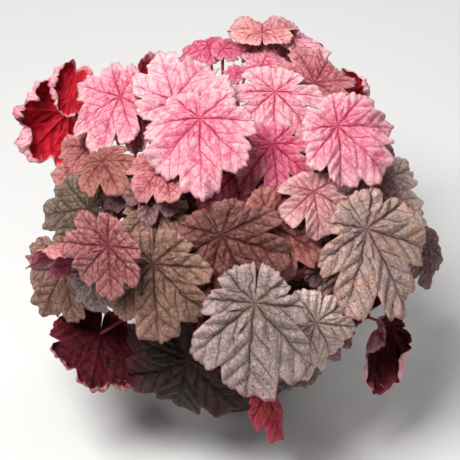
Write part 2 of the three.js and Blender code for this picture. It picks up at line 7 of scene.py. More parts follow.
import bpy
import numpy as np
from numpy import array, clip, concatenate, cos, exp, linspace, pi, radians, sin
from numpy.linalg import norm
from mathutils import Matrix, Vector


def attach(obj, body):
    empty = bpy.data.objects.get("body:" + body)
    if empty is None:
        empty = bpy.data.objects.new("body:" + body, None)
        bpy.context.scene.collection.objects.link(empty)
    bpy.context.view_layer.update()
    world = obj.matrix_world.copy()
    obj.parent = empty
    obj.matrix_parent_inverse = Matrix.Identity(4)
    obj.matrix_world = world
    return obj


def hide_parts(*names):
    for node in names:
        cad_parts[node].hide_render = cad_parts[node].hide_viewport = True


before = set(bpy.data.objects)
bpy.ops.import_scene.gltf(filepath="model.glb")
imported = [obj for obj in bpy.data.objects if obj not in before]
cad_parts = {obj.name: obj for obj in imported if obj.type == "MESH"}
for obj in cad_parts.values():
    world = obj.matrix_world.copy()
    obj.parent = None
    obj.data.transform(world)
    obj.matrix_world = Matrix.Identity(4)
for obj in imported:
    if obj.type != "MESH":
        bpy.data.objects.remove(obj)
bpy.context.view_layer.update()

# ---- driving dimensions, in millimetres and degrees, as in the CAD part
MM = 0.001
POT = Named(height=128, base=60, rim=82, wall=1.8, floor=2.4)
RIM = Named(band=12, lip=2.4)
DRAIN = Named(count=6, radius=5, ring=40)
SOIL_LEVEL = 112
SOIL_TOP = array([0, 0, SOIL_LEVEL])
CROWN = Named(radius=33, rise=24, stub=18)
CENTRE = array([0.0, 0.0, 190.0])
MOUND = array([160.0, 160.0, 158.0])
# How far off the camera stands, and how wide its picture is at the mound's middle
EYE_DISTANCE = 1500
PICTURE_WIDTH = 428
PETIOLE = Named(top=1.3, foot=1.7, depth=5, stand=1)
THICKNESS = 0.9
# What the CAD part tries for each leaf: lifts towards the camera, feet on the crown, bends of the stalk
LIFTS = np.arange(-40, 81, 2.5)
FEET = Named(golden=137.508, lowest=0.16, highest=0.97, rear_up=0.35, choices=4)
BULGES = (0, 8, 16, 25, 36, 48, 62, 78)
BULGE_SIDES = (0, 180, 90, 270, 45, 135, 225, 315)
SQUARENESS = (0.8, 0.3, 1.7, 0, 3)
REACH_ALONG = Named(top=0.33, foot=0.36)
RINGS_AT = (0.25, 0.5, 0.75)

# ---- a leaf's shape, in shares of its size
# The stalk meets the blade at (0, 0), the tip lobe points along +y and +z is the upper side.
PITCH = {7: 44, 5: 56}
OUTLINE = Named(lobe=0.06, notch_sharp=10, teeth=3, tooth=0.045, tooth_round=0.6, uneven=0.05)
SINUS = Named(width=7, depth=0.12, round=0.6, nearest=2.8)
RELIEF = Named(dome=0.1, pleat=0.06, ripple_at=2.5)

# What the solids don't have. YOUTH is how much stronger most of it is on the pink leaves.
FINE = Named(spokes_rings=(236, 16), on_small=(168, 11), small=45, crowding=0.9)
YOUTH = 1.35
SCALLOP = Named(depth=0.046, round=0.7, level=0.6, sway=0.9, sway_pace=0.8, cut=0.08, cut_sharp=24)
RAGGED = Named(broad=0.03, broad_count=5, fine=0.02, fine_count=11)
RUFFLE = Named(height=0.04, count=19, at=4.0, shift=2.1, wander=1.3, wander_count=3)
SWELL = Named(height=0.03, across=7.5, along=6.2)
QUILT = Named(height=0.034, groove=0.012, groove_width=0.02, from_stalk=0.25, from_margin=0.12)
BRANCH = Named(spacing=0.19, slant=1.15, stagger=0.05, by_lobe=0.035)
EDGE_THICKNESS = 0.45
CORE_THICKNESS = 0.8
STALK = Named(sections=26, sides=10, head=0.8, flare=0.5, flare_length=0.06, sheath=0.9, sheath_length=0.12)
# Leaves whose margin is rolled over round one direction, down or, with a minus, up
ROLLED = dict(
    leaf_burgundy_05=Named(at=-34, width=42, start=0.83, radius=4, stretch=0.16),
    leaf_burgundy_06=Named(at=55, width=55, start=0.76, radius=3.6, stretch=0.25),
    leaf_burgundy_04=Named(at=60, width=45, start=0.8, radius=3.5, stretch=0.2),
    leaf_burgundy_01=Named(at=10, width=110, start=0.86, radius=5, stretch=0.1),
    leaf_bronze_08=Named(at=-8, width=34, start=0.85, radius=-4, stretch=0.12),
    leaf_silver_05=Named(at=-30, width=50, start=0.82, radius=6, stretch=0.1),
    leaf_burgundy_07=Named(at=-40, width=60, start=0.8, radius=3, stretch=0.2),
)


def columns(*values):
    return np.stack(values, axis=-1)


def youth(leaf):
    return YOUTH if leaf.kind == "pink" else 1


def ripple(leaf, count, angle, shift=1):
    """A wave round the blade that starts where the leaf's own phase puts it."""
    return sin(count * angle + shift * leaf.phase)


def lobe_turn(leaf, degrees):
    """Half a turn to each lobe; the two by the notch at the leaf's base run on to it unbroken."""
    pitch = PITCH[leaf.lobes]
    last = pitch * (leaf.lobes - 1) / 2
    return clip(degrees, -last, last) / pitch * pi


def fine_margin(leaf, angle, in_tooth, valley):
    """The crenation between the teeth, the cuts between the lobes and the ragged edge."""
    crowd = 2 * in_tooth + SCALLOP.sway * sin(SCALLOP.sway_pace * in_tooth + leaf.phase)
    scallop = np.abs(cos(crowd)) ** SCALLOP.round - SCALLOP.level
    cut = SCALLOP.cut * valley ** SCALLOP.cut_sharp
    broad = youth(leaf) * RAGGED.broad * ripple(leaf, RAGGED.broad_count, angle, shift=3)
    fine = RAGGED.fine * ripple(leaf, RAGGED.fine_count, angle, shift=5)
    return (1 + youth(leaf) * SCALLOP.depth * scallop) * (1 - cut) * (1 + broad) * (1 + fine)


def outline_radius(leaf, degrees, fine=False):
    """How far the margin lies from the junction, in millimetres."""
    angle = radians(degrees)
    in_tooth = OUTLINE.teeth * degrees * pi / PITCH[leaf.lobes]
    round_part = clip(cos(angle / 2), 0, 1) ** leaf.narrow
    lopsided = 1 + OUTLINE.uneven * ripple(leaf, 2, angle)
    envelope = (leaf.base + (1 - leaf.base) * round_part) * lopsided
    valley = sin(lobe_turn(leaf, degrees)) ** 2
    lobed = 1 - OUTLINE.lobe * valley - leaf.notch * valley ** (OUTLINE.notch_sharp / 2)
    toothed = 1 - OUTLINE.tooth * (1 - np.abs(cos(in_tooth)) ** OUTLINE.tooth_round)
    to_base = clip((180 - np.abs(degrees)) / SINUS.width, 0, 1)
    opened = SINUS.depth + (1 - SINUS.depth) * sin(to_base * pi / 2) ** SINUS.round
    worn = fine_margin(leaf, angle, in_tooth, valley) if fine else 1
    return np.maximum(SINUS.nearest, leaf.size * envelope * lobed * toothed * opened * worn)


def vein_lines(leaf, angle, part):
    """How far a place is from the nearest main vein, and where it lies between two branch veins."""
    pitch = radians(PITCH[leaf.lobes])
    outer = (leaf.lobes - 1) / 2
    lobe = clip(np.round(angle / pitch), -outer, outer)
    off = angle - lobe * pitch
    along, across = part * cos(off), part * sin(off)
    away = np.abs(across)
    start = along - BRANCH.slant * away + BRANCH.stagger * np.sign(across) + BRANCH.by_lobe * lobe
    return away, start / BRANCH.spacing


def fine_relief(leaf, angle, part, reach):
    """The cushions and grooves of the veins, the ruffled margin and the blade's swellings."""
    away, between = vein_lines(leaf, angle, part)
    off_vein = 1 - exp(-((away / QUILT.groove_width) ** 2))
    cushion = QUILT.height * (0.5 - 0.5 * cos(2 * pi * between)) * off_vein
    groove = QUILT.groove * (1 - off_vein)
    to_margin = clip((1 - reach) / QUILT.from_margin, 0, 1) ** 0.5
    fade = clip(part / QUILT.from_stalk, 0, 1) * to_margin
    wander = RUFFLE.wander * ripple(leaf, RUFFLE.wander_count, angle)
    ruffle = sin(RUFFLE.count * angle + RUFFLE.shift * leaf.phase + wander)
    across = sin(SWELL.across * part * sin(angle) + leaf.phase)
    along = sin(SWELL.along * part * cos(angle) + 2 * leaf.phase)
    loose = RUFFLE.height * part ** RUFFLE.at * ruffle + SWELL.height * part * across * along
    return fade * (cushion - groove) + youth(leaf) * loose


def bend(out, height, rate):
    """Bends a strip lying along an axis down by `rate` radians a millimetre."""
    if np.all(np.abs(rate) < 1e-6):
        return out, height
    turn = out * rate
    return sin(turn) / rate + height * sin(turn), (cos(turn) - 1) / rate + height * cos(turn)


def roll_margin(leaf, degrees, radius, height):
    """Rolls what lies beyond the start of the margin round an arc, most in one direction."""
    rolled = ROLLED[leaf.name]
    aside = (degrees - rolled.at + 180) % 360 - 180
    share = exp(-((aside / rolled.width) ** 2))
    radius = radius * (1 + rolled.stretch * share)
    margin = np.maximum(0, radius - rolled.start * outline_radius(leaf, degrees))
    inwards, height = bend(margin, height, share / rolled.radius)
    return radius - margin + inwards, height


def bladed(leaf, degrees, reach, below=0, fine=False):
    """Points of the blade in the leaf's own frame: flat place, relief, then the bends."""
    angle = radians(degrees)
    radius = outline_radius(leaf, degrees, fine) * reach
    part = radius / leaf.size
    pleat = RELIEF.pleat * part * sin(lobe_turn(leaf, degrees)) ** 2
    rippled = leaf.wave * part ** RELIEF.ripple_at * ripple(leaf, leaf.ripples, angle)
    relief = -RELIEF.dome * part**2 + pleat + rippled
    if fine:
        relief = relief + fine_relief(leaf, angle, part, reach)
    height = relief * leaf.size - below
    if fine and leaf.name in ROLLED:
        radius, height = roll_margin(leaf, degrees, radius, height)
    across, height = bend(radius * sin(angle), height, radians(leaf.roll) / leaf.size)
    along, height = bend(radius * cos(angle), height, radians(leaf.curl) / leaf.size)
    return columns(across, along, height)


# ---- where a leaf sits
def unit(v):
    return v / norm(v)


def view(azimuth, elevation):
    """A camera's axes and place, from its angles about the mound's centre."""
    a, e = radians(azimuth), radians(elevation)
    right = array([cos(a), sin(a), 0.0])
    to_eye = array([sin(a) * cos(e), -cos(a) * cos(e), sin(e)])
    return Named(right=right, up=np.cross(to_eye, right), to_eye=to_eye, eye=CENTRE + to_eye * EYE_DISTANCE)


FRONT = view(0, 43)
BACK = view(180, 32)
LEFT = view(-90, 18)
RIGHT = view(90, 18)


def pose_leaf(leaf, lift):
    """The leaf's frame where the line of sight through its place meets the mound."""
    seen = leaf.seen
    target = CENTRE + seen.right * leaf.at[0] + seen.up * leaf.at[1]
    ray = unit(target - seen.eye)
    start, way = (seen.eye - CENTRE) / MOUND, ray / MOUND
    half = start @ way / (way @ way)
    inside = half**2 - (start @ start - 1) / (way @ way)
    distance = -half - math.sqrt(max(0, inside)) - leaf.rise - lift
    junction = seen.eye + ray * distance
    on_mound = junction + ray * (leaf.rise + lift)
    if leaf.faces:
        axes = (seen.right, seen.up, seen.to_eye)
        normal = sum(share * axis for share, axis in zip(leaf.faces, axes))
    else:
        normal = unit(on_mound - CENTRE) + leaf.square * seen.to_eye
    normal = unit(normal)
    a = radians(leaf.tip)
    tip = seen.right * cos(a) + seen.up * sin(a)
    tip = unit(tip - ray * (tip @ normal) / (ray @ normal))
    turned = (SOIL_TOP - junction) @ normal > 0
    return Named(junction=junction, normal=normal, tip=tip, across=np.cross(tip, normal), turned=turned)


def placed(pose, points):
    axes = np.stack([pose.across, pose.tip, pose.normal])
    return pose.junction + points @ axes


def crown_feet(count):
    """Where stalks may grow from the crown, spread over it by the golden angle."""
    feet = []
    semi = array([CROWN.radius, CROWN.radius, CROWN.rise], float)
    for k in range(count):
        height = FEET.lowest + (FEET.highest - FEET.lowest) * (k + 0.5) / count
        a = radians(k * FEET.golden)
        flat = math.sqrt(1 - height**2)
        out = array([flat * cos(a), flat * sin(a), height])
        away = unit(unit(out / semi) + array([0, 0, FEET.rear_up]))
        feet.append(Named(place=out * semi + SOIL_TOP, away=away, taken=False))
    return feet


def nearest_feet(leaf, feet):
    outward = (pose_leaf(leaf, 0).junction - CENTRE) * array([1, 1, 0])
    share = min(1, norm(outward) / MOUND[0])
    wanted = unit(outward) * CROWN.radius * share
    wanted[2] = SOIL_LEVEL + CROWN.rise * math.sqrt(1 - share**2)
    free = [foot for foot in feet if not foot.taken]
    return sorted(free, key=lambda foot: norm(foot.place - wanted))[: FEET.choices]


def stalk_curve(leaf, foot, bulge, side, square):
    """The four points of the stalk's curve, from the blade down to the crown."""
    normal, turned = leaf.pose.normal, leaf.pose.turned
    start = leaf.pose.junction - normal * (0 if turned else THICKNESS)
    end = foot.place + foot.away * PETIOLE.stand
    chord = end - start
    length = norm(chord)
    sideways = unit(array([-chord[1], chord[0], 0]))
    downwards = unit(np.cross(chord, sideways))
    leave = unit(unit(chord) + normal * square * leaf.stalk * (1 if turned else -1))
    side = radians(side)
    push = sideways * bulge * cos(side) + downwards * bulge * sin(side)
    below_blade = start + leave * length * REACH_ALONG.top + push
    above_foot = end + foot.away * length * REACH_ALONG.foot + push
    return array([start, below_blade, above_foot, end])


def on_curve(curve, t):
    t = np.asarray(t, float)[:, None]
    weights = ((1 - t) ** 3, 3 * (1 - t) ** 2 * t, 3 * (1 - t) * t**2, t**3)
    return sum(weight * point for weight, point in zip(weights, curve))


# ---- the leaves, as in the CAD part
LEAVES = []
KINDS = {}
UPPER = dict(pink="bright", rose="rose", silver="silver", bronze="brown", burgundy="bright")
UNDER = dict(pink="crimson", rose="magenta", silver="wine", bronze="wine", burgundy="wine")


def leaf(kind, at, tip, size, look=None, back=None, shares=0, **shape):
    """One row. The junction is `at` millimetres right of and above the centre, as seen from the leaf's
    camera, and the tip lobe points `tip` degrees round from the right. `faces` is the way the upper side
    looks: right, up, to the camera. A leaf that `shares` stands in the node so many rows before it."""
    KINDS[kind] = KINDS.get(kind, 0) + 1
    name = f"leaf_{kind}_{KINDS[kind]:02d}"
    k = len(LEAVES)
    row = Named(
        name=name,
        node=LEAVES[k - shares].node if shares else name,
        mate=LEAVES[k - shares] if shares else None,
        kind=kind, at=at, tip=tip, size=size, seen=FRONT, faces=None,
        lobes=5 if size < 50 else 7,
        points=4 if size < 56 else 6,
        notch=0.14, narrow=1.9, base=0.42, rise=0, curl=22, roll=12, wave=0.09, square=0.45, stalk=1,
        ripples=4 + k % 3,
        phase=radians(k * FEET.golden) % (2 * pi),
        seed=k, look=look or UPPER[kind], back=back or UNDER[kind],
    )
    vars(row).update(shape)
    LEAVES.append(row)


# lower front, hanging over the pot
leaf("burgundy", (-121, -97), -100, 62, "dusty", faces=(-0.35, -0.45, -0.8), curl=-20, roll=-10)
leaf("silver", (2, -130), -78, 48, "dusk", rise=-20)
leaf("silver", (66, -134), -100, 30, "green_grey", rise=-6, shares=1)
leaf("rose", (32, -148), -64, 54, "ember", back="crimson", faces=(0.6, 0.1, 0.75), narrow=6,
     base=0.2, roll=160)
leaf("bronze", (90, -90), -88, 46, "mauve", rise=-20)
leaf("burgundy", (150, -88), -120, 94, faces=(-0.5, -0.15, -0.85), narrow=7, base=0.15, roll=290, curl=30)
leaf("burgundy", (108, -70), 8, 34, faces=(0.3, -0.5, -0.8), shares=1)
leaf("bronze", (-38, -120), -104, 88, "dusk", roll=40)
# lower sides
leaf("bronze", (-154, -36), 238, 60, "beige", faces=(-0.55, -0.1, 0.83), notch=0.06)
leaf("rose", (-130, -15), 184, 56, faces=(-0.1, 0.88, -0.35), roll=60, rise=-6)
leaf("silver", (-128, -44), -88, 40, rise=-4)
leaf("silver", (184, -14), -80, 42, "mauve", faces=(0.75, 0.1, 0.6))
leaf("rose", (150, -12), -10, 36, faces=(0.25, 0.8, -0.45), rise=-10)
leaf("silver", (126, 42), -20, 80, "ash", faces=(0.3, 0.5, 0.8), narrow=2.2, notch=0.2)
leaf("rose", (106, -19), -96, 50, "mauve", roll=40)
# middle
leaf("bronze", (-39, 32), -80, 32, "beige", rise=-18)
leaf("rose", (36, 7), -30, 58, "terracotta")
leaf("bronze", (-8, -5), -62, 68, "brown", notch=0.22)
leaf("pink", (7, 54), -86, 52, "hot", faces=(0, 0.5, 0.85), rise=-20, notch=0.3)
leaf("pink", (39, 80), -80, 54, "hot", faces=(0.1, 0.45, 0.88), rise=-16, shares=1, notch=0.32)
leaf("rose", (78, 36), -78, 45, "blush", faces=(0.25, 0.3, 0.9), notch=0.28)
leaf("silver", (127, 1), -58, 86, "sand", faces=(0.35, 0.1, 0.93), narrow=3.2, base=0.38, notch=0.2,
     roll=30)
leaf("bronze", (80, -86), -108, 64, "ash", roll=35)
leaf("rose", (-65, -24), 175, 34, faces=(0.1, 0.93, -0.3))
leaf("bronze", (-71, -32), -90, 70, "beige", notch=0.1)
leaf("silver", (23, -68), -95, 96, "frost", faces=(0, -0.12, 0.99), narrow=6, base=0.36, notch=0.12,
     roll=24)
leaf("silver", (-69, 18), -85, 43, "beige", faces=(0, 0.55, 0.8))
leaf("silver", (-130, 20), 186, 54, "green_grey", faces=(-0.35, 0.15, 0.92), notch=0.06)
leaf("rose", (-113, -15), 225, 52, "dusty", faces=(-0.3, -0.15, 0.94))
leaf("silver", (-86, 46), 215, 40, "mauve")
leaf("rose", (-70, 40), -110, 34, "mauve", faces=(-0.1, 0.4, 0.9), notch=0.24)
leaf("rose", (-59, 60), 218, 42, faces=(-0.2, 0.5, 0.8))
# upper left
leaf("rose", (-119, 65), -60, 40, "terracotta", faces=(-0.2, 0.65, 0.75), notch=0.24)
leaf("pink", (-84, 104), -105, 36, rise=-20)
leaf("burgundy", (-73, 131), 150, 46, back="crimson", faces=(0, 0.75, -0.65), roll=-50, rise=-20)
leaf("burgundy", (-150, 110), 222, 74, back="crimson", faces=(-0.4, 0.1, -0.9), curl=30, roll=60,
     rise=-20, stalk=0.2, wave=0.13)
leaf("burgundy", (-148, 122), 108, 44, back="crimson", faces=(-0.35, -0.1, -0.93), narrow=4, roll=80,
     rise=-20, stalk=0.2)
leaf("rose", (-132, 76), 222, 46, "salmon", faces=(-0.45, 0.4, 0.8), notch=0.24, wave=0.12)
leaf("pink", (-102, 124), 205, 60, faces=(-0.35, 0.4, 0.85), notch=0.16, wave=0.13)
# top
leaf("pink", (58, 178), 10, 42, "pale", faces=(0.3, 0.75, 0.6), notch=0.26, wave=0.12)
leaf("pink", (30, 153), 70, 32, faces=(0, 0.6, 0.75))
leaf("pink", (7, 145), 150, 18, "hot", faces=(0, 0.6, 0.75), wave=0.12, shares=1)
leaf("pink", (-20, 172), 180, 38, "hot", faces=(-0.2, 0.7, 0.65), curl=50, roll=60)
leaf("pink", (-7, 169), 0, 24, "hot", faces=(0, 0.7, 0.7), wave=0.1, shares=1)
leaf("pink", (30, 184), 90, 44, "coral", faces=(0, 0.75, 0.65), wave=0.14)
leaf("burgundy", (112, 130), 20, 34, back="crimson", faces=(0.6, 0.5, -0.6))
leaf("pink", (79, 137), 60, 50, "rose", faces=(0.25, 0.5, 0.8), wave=0.12)
# upper right and crown of the mound
leaf("rose", (132, 60), -25, 46, "mauve", wave=0.12)
leaf("pink", (100, 97), -40, 61, faces=(0.25, 0.25, 0.93), notch=0.06)
leaf("pink", (-52, 119), 58, 64, "pale", faces=(-0.1, 0.4, 0.9), wave=0.11)
leaf("pink", (-28, 104), -90, 65, faces=(-0.1, 0.3, 0.94), notch=0.08)
leaf("pink", (42, 129), -92, 62, "pale", faces=(0, 0.35, 0.93), notch=0.32)


# the far side
def far(kind, at, tip, size, look=None, **shape):
    leaf(kind, at, tip, size, look, seen=BACK, points=4, **shape)


far("pink", (54, 24), -45, 44, rise=-30)
far("rose", (-126, -4), -150, 58, "dusty", rise=-20)
far("rose", (-52, -2), -105, 58)
far("rose", (108, -34), -50, 48, "salmon")
far("silver", (46, -16), -72, 58, "mauve")
far("silver", (-98, -62), -120, 64, shares=1)
far("bronze", (0, -62), -92, 68)
far("bronze", (98, -66), -58, 64, "beige", shares=1)
far("bronze", (-46, -114), -105, 58, "dusk")
far("silver", (48, -112), -75, 60, "green_grey")
# low at the sides
leaf("bronze", (-22, -84), -98, 54, "beige", seen=LEFT, points=4, rise=-20)
leaf("bronze", (66, -76), -75, 50, seen=RIGHT, points=4, rise=-20)


# ---- finding each leaf's solid in the frame
def corners_of(node):
    """The corners of a CAD node in millimetres, each once."""
    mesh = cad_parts[node].data
    flat = np.empty(len(mesh.vertices) * 3)
    mesh.vertices.foreach_get("co", flat)
    return np.unique(np.round(flat.reshape(-1, 3) / MM, 3), axis=0)


def margin_misfit(pose, margin, cloud):
    gaps = norm(placed(pose, margin)[:, None] - cloud[None], axis=-1)
    return gaps.min(axis=1).mean()


def ring_misfit(curve, cloud):
    """A stalk's corners lie four by four round its curve, so their mean is a point of it."""
    centres = on_curve(curve, RINGS_AT)
    gap = norm(centres[:, None] - cloud[None], axis=-1)
    four = np.argpartition(gap, 4, axis=1)[:, :4]
    return norm(cloud[four].mean(axis=1) - centres, axis=1).sum()


def find_leaf(row, feet):
    """Settles how far the leaf was lifted, its foot and its stalk's bend, from its solid."""
    cloud = corners_of(row.node)
    half = row.lobes * row.points // 2
    degrees = np.arange(-half, half + 1) * PITCH[row.lobes] / row.points
    margin = bladed(row, degrees, 1)
    poses = [pose_leaf(row, lift) for lift in LIFTS]
    row.pose = min(poses, key=lambda pose: margin_misfit(pose, margin, cloud))
    choices = []
    for foot in [row.mate.foot] if row.mate else nearest_feet(row, feet):
        for bulge in BULGES:
            for side in BULGE_SIDES if bulge else (0,):
                for square in SQUARENESS:
                    curve = stalk_curve(row, foot, bulge, side, square)
                    choices.append((ring_misfit(curve, cloud), foot, curve))
    row.foot, row.curve = min(choices, key=lambda choice: choice[0])[1:]
    row.foot.taken = True


# ---- meshes
class Mesh:
    """Gathers points, faces and their attributes, then becomes one object."""

    def __init__(self):
        self.points, self.faces, self.materials, self.places, self.sides = [], [], [], [], []
        self.count = 0

    def add(self, points, faces, material=0, places=None, sides=None):
        points = np.asarray(points, float)
        self.points.append(points)
        self.faces += [[corner + self.count for corner in face] for face in faces]
        self.materials += [material] * len(faces)
        self.places.append(np.zeros((len(points), 3)) if places is None else places)
        self.sides.append(np.zeros(len(points)) if sides is None else sides)
        self.count += len(points)

    def build(self, name, materials, smooth=True):
        mesh = bpy.data.meshes.new(name)
        mesh.from_pydata((concatenate(self.points) * MM).tolist(), [], self.faces)
        mesh.polygons.foreach_set("material_index", self.materials)
        mesh.polygons.foreach_set("use_smooth", [smooth] * len(self.faces))
        place = mesh.attributes.new("leaf_place", "FLOAT_VECTOR", "POINT")
        place.data.foreach_set("vector", concatenate(self.places).ravel())
        side = mesh.attributes.new("leaf_side", "FLOAT", "POINT")
        side.data.foreach_set("value", concatenate(self.sides))
        for material in materials:
            mesh.materials.append(material)
        mesh.update()
        return linked(name, mesh)


def linked(name, data):
    """An object with this data, in the scene."""
    made = bpy.data.objects.new(name, data)
    bpy.context.scene.collection.objects.link(made)
    return made


def full_turn(count):
    return 2 * pi * np.arange(count) / count


def neighbours(count):
    """Each place on a closed ring with the next one."""
    return [(k, (k + 1) % count) for k in range(count)]


def band(low, high, count):
    """Quads between two closed rings of `count` points that start at `low` and `high`."""
    return [[low + k, low + m, high + m, high + k] for k, m in neighbours(count)]


def add_blade(mesh, row, material):
    """Two skins of rings round the junction, split by the blade's thickness and joined at the margin."""
    spokes, rings = FINE.on_small if row.size < FINE.small else FINE.spokes_rings
    degrees = -180 + 360 * np.arange(spokes) / spokes
    angle = radians(degrees)
    shares = outline_radius(row, degrees, fine=True) / row.size
    reaches = (np.arange(1, rings + 1) / rings) ** FINE.crowding
    points, places, sides = [], [], []
    for side in (0, 1):
        for reach in reaches:
            below = side * (CORE_THICKNESS + (EDGE_THICKNESS - CORE_THICKNESS) * reach**2)
            points.append(bladed(row, degrees, reach, below, fine=True))
            x, y = shares * reach * sin(angle), shares * reach * cos(angle)
            places.append(columns(x, y, np.full(spokes, reach)))
            sides.append(np.full(spokes, float(side)))
    points.append(array([[0, 0, 0], [0, 0, -CORE_THICKNESS]]))
    places.append(np.zeros((2, 3)))
    sides.append(array([0.0, 1.0]))
    under = rings * spokes
    faces = []
    for ring in range(0, under - spokes, spokes):
        faces += band(ring, ring + spokes, spokes)
        faces += [face[::-1] for face in band(under + ring, under + ring + spokes, spokes)]
    faces += band(under - spokes, 2 * under - spokes, spokes)
    for k, m in neighbours(spokes):
        faces += [[2 * under, m, k], [2 * under + 1, under + k, under + m]]
    points = placed(row.pose, concatenate(points))
    mesh.add(points, faces, material, concatenate(places), concatenate(sides))


def add_tube(mesh, centres, radii, sides, material, reference):
    """A round tube through the centres, closed at both ends."""
    tangents = np.gradient(centres, axis=0)
    turn = full_turn(sides)[:, None]
    points = []
    for centre, tangent, radius in zip(centres, tangents, radii):
        tangent = unit(tangent)
        reference = unit(reference - tangent * (reference @ tangent))
        other = np.cross(tangent, reference)
        points.append(centre + radius * (cos(turn) * reference + sin(turn) * other))
    last = (len(centres) - 1) * sides
    faces = []
    for ring in range(0, last, sides):
        faces += band(ring, ring + sides, sides)
    faces += [list(range(sides))[::-1], [last + k for k in range(sides)]]
    steps = np.repeat(linspace(0, 1, len(centres)), sides)
    places = columns(steps, np.zeros_like(steps), np.ones_like(steps))
    mesh.add(concatenate(points), faces, material, places)


def add_stalk(mesh, row, material):
    """The stalk along its curve: flared under the blade, sheathed at the foot, sunk into both."""
    t = linspace(0, 1, STALK.sections)
    centres = on_curve(row.curve, t)
    radii = PETIOLE.top + (PETIOLE.foot - PETIOLE.top) * t
    radii = radii + STALK.flare * exp(-t / STALK.flare_length)
    radii = radii + STALK.sheath * exp(-(1 - t) / STALK.sheath_length)
    into_blade = THICKNESS / 2 * (-1 if row.pose.turned else 1)
    head = centres[0] + row.pose.normal * into_blade
    foot = centres[-1] - row.foot.away * PETIOLE.depth
    centres = concatenate([[head], centres, [foot]])
    radii = concatenate([[STALK.head] * 2, radii[1:], [PETIOLE.foot]])
    add_tube(mesh, centres, radii, STALK.sides, material, row.pose.tip)


# ---- material nodes
def linear(colour):
    """A screen colour, given as #rrggbb, as the shaders need it."""
    parts = [c / 255 for c in bytes.fromhex(colour[1:])]
    return tuple(c / 12.92 if c <= 0.04045 else ((c + 0.055) / 1.055) ** 2.4 for c in parts) + (1.0,)


class Tree:
    """Adds nodes to a tree. Any input is a number, a #rrggbb colour or another node's output."""

    def __init__(self, tree, material=None):
        self.tree, self.material = tree, material
        tree.nodes.clear()

    def node(self, kind, inputs, **settings):
        made = self.tree.nodes.new(kind)
        for name, value in settings.items():
            setattr(made, name, value)
        for key, value in inputs.items():
            if isinstance(value, bpy.types.NodeSocket):
                self.tree.links.new(value, made.inputs[key])
            else:
                made.inputs[key].default_value = linear(value) if isinstance(value, str) else value
        return made

    def math(self, operation, *values):
        return self.node("ShaderNodeMath", dict(enumerate(values)), operation=operation).outputs[0]

    plus = partialmethod(math, "ADD")
    minus = partialmethod(math, "SUBTRACT")
    times = partialmethod(math, "MULTIPLY")
    over = partialmethod(math, "DIVIDE")
    most = partialmethod(math, "MAXIMUM")

    def gather(self, join, masks, weights):
        """The named masks, each times its weight, put together by most or by plus."""
        found = 0.0
        for name, weight in weights.items():
            found = join(found, self.times(masks[name], weight))
        return found

    def vector(self, operation, *values):
        return self.node("ShaderNodeVectorMath", dict(enumerate(values)), operation=operation).outputs[0]

    def parts(self, vector):
        return self.node("ShaderNodeSeparateXYZ", {0: vector}).outputs

    def blend(self, share, low, high):
        """A number between two others."""
        return self.node("ShaderNodeMix", {0: share, 2: low, 3: high}).outputs[0]

    def mix(self, share, low, high):
        """A colour between two others."""
        return self.node("ShaderNodeMix", {0: share, 6: low, 7: high}, data_type="RGBA").outputs[2]

    def step(self, value, start, end, low=0.0, high=1.0):
        """Goes smoothly from low to high as the value goes from start to end."""
        inputs = {"Value": value, "From Min": start, "From Max": end, "To Min": low, "To Max": high}
        return self.node("ShaderNodeMapRange", inputs, interpolation_type="SMOOTHSTEP").outputs[0]

    def lay(self, under, over, value, start, end, strength=1.0):
        """One colour laid over another, more and more as the value goes from start to end."""
        return self.mix(self.times(self.step(value, start, end), strength), under, over)

    def noise(self, vector, scale, detail=2.0, roughness=0.5, output=0):
        inputs = {"Vector": vector, "Scale": scale, "Detail": detail, "Roughness": roughness}
        return self.node("ShaderNodeTexNoise", inputs).outputs[output]

    def cells(self, vector, scale, **settings):
        return self.node("ShaderNodeTexVoronoi", {"Vector": vector, "Scale": scale}, **settings).outputs

    def own_place(self):
        return self.node("ShaderNodeTexCoord", {}).outputs["Object"]

    def attribute(self, name, output):
        return self.node("ShaderNodeAttribute", {}, attribute_name=name).outputs[output]

    def bump(self, height, distance):
        return self.node("ShaderNodeBump", {"Height": height, "Distance": distance}).outputs[0]

    def finish(self, colour, roughness, **others):
        """Adds the surface shader, other sockets named with _ for spaces, and gives the material."""
        inputs = {"Base Color": colour, "Roughness": roughness}
        inputs.update((name.replace("_", " "), value) for name, value in others.items())
        shader = self.node("ShaderNodeBsdfPrincipled", inputs)
        self.node("ShaderNodeOutputMaterial", {0: shader.outputs[0]})
        return self.material


def new_material(name):
    material = bpy.data.materials.new(name)
    material.use_nodes = True
    return Tree(material.node_tree, material)


# ---- veins, in shares of the leaf's size
VEIN = Named(main=0.0095, branch=0.0052, taper=0.8, start=0.09, least=0.12, halo=0.038)
VEIN_EDGES = Named(main=(0.35, 1.0, 1.0, 0.0), branch=(0.3, 1.1, 1.0, 0.0), branch_start=(0.06, 0.12))
BRANCH_HALO = Named(width=0.7, start=0.12, strength=0.8)
WANDER = Named(reach=0.04, scale=4.0, detail=3.0, settled=0.18)
# The nets between the veins: the size of a mesh in millimetres, and how much of it the line takes
NETS = dict(Net=(4.6, 0.085), Fine=(1.7, 0.14))


